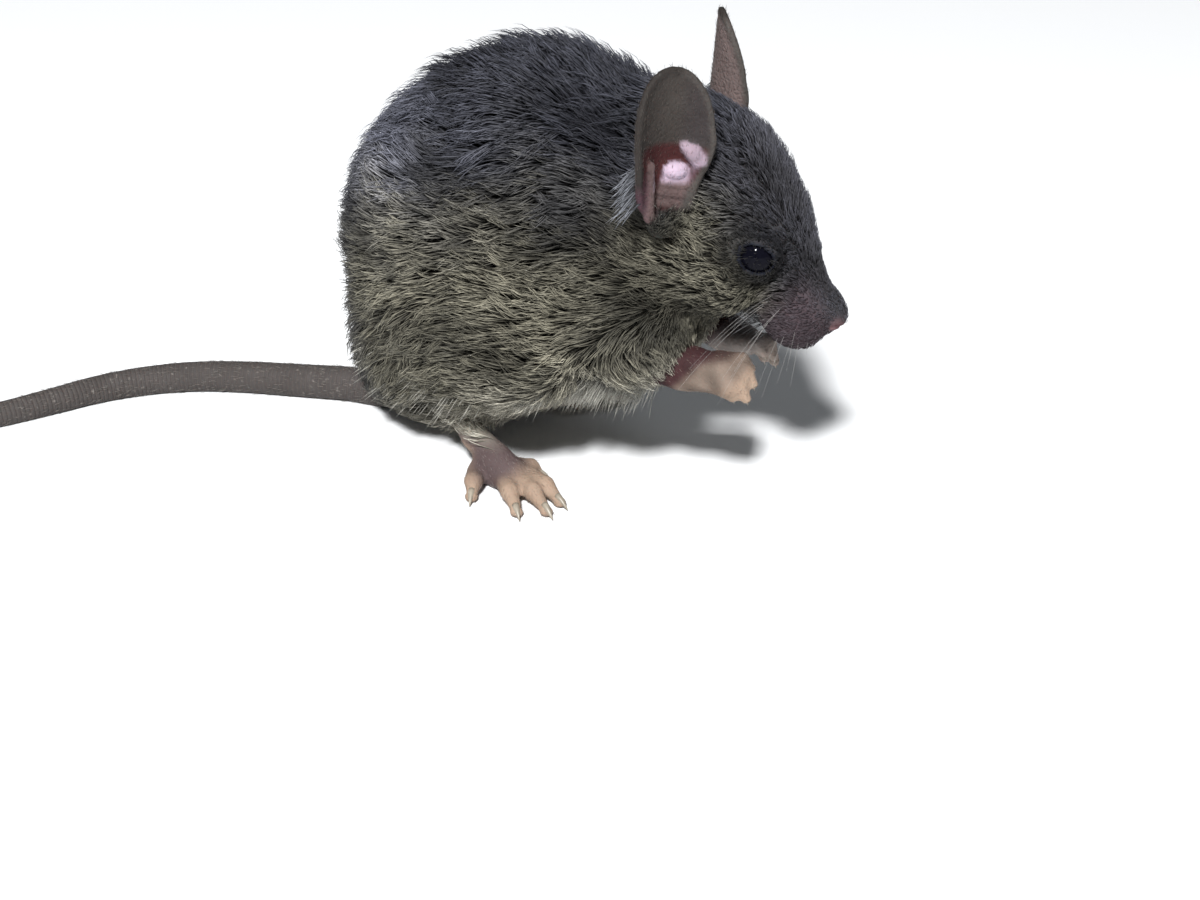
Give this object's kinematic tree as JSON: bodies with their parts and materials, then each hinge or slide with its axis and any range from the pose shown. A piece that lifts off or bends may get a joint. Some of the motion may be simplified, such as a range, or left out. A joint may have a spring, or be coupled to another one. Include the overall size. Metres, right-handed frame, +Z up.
{
  "type": "house mouse",
  "caption": "Still, life-size model of a house mouse, hunched on its hind feet with its forepaws held to its chin and its long tail laid along the floor.",
  "frame": {"origin": "middle of the bottom of the bounding box, on the floor", "axes": "+X along the body towards the nose, +Y to the animal's left, +Z up"},
  "size_m": [0.1086, 0.0532, 0.0421],
  "materials": {
    "coat": "short dense fur, dark slate on the back, olive brown on the flanks and pale buff below",
    "ear_skin": "thin brown-grey skin with fine down",
    "foot_skin": "bare pinkish skin, cream on the digits",
    "tail_skin": "dark grey-brown skin in fine rings, with sparse short hairs",
    "eye": "black, wet gloss",
    "claw": "pale translucent horn",
    "whisker": "fine stiff hair"
  },
  "bodies": {
    "root": {"head": "coat", "neck": "coat", "trunk": "coat", "eye_left": "eye", "eye_right": "eye", "ear_left": "ear_skin", "ear_right": "ear_skin", "foreleg_left": "coat", "foreleg_right": "coat", "forepaw_left": "foot_skin", "forepaw_right": "foot_skin", "thigh_left": "coat", "thigh_right": "coat", "hindfoot_left": "foot_skin", "hindfoot_right": "foot_skin", "tail_root": "tail_skin", "tail_middle": "tail_skin", "tail_end": "tail_skin", "tail_tip": "tail_skin"}
  },
  "joints": []
}
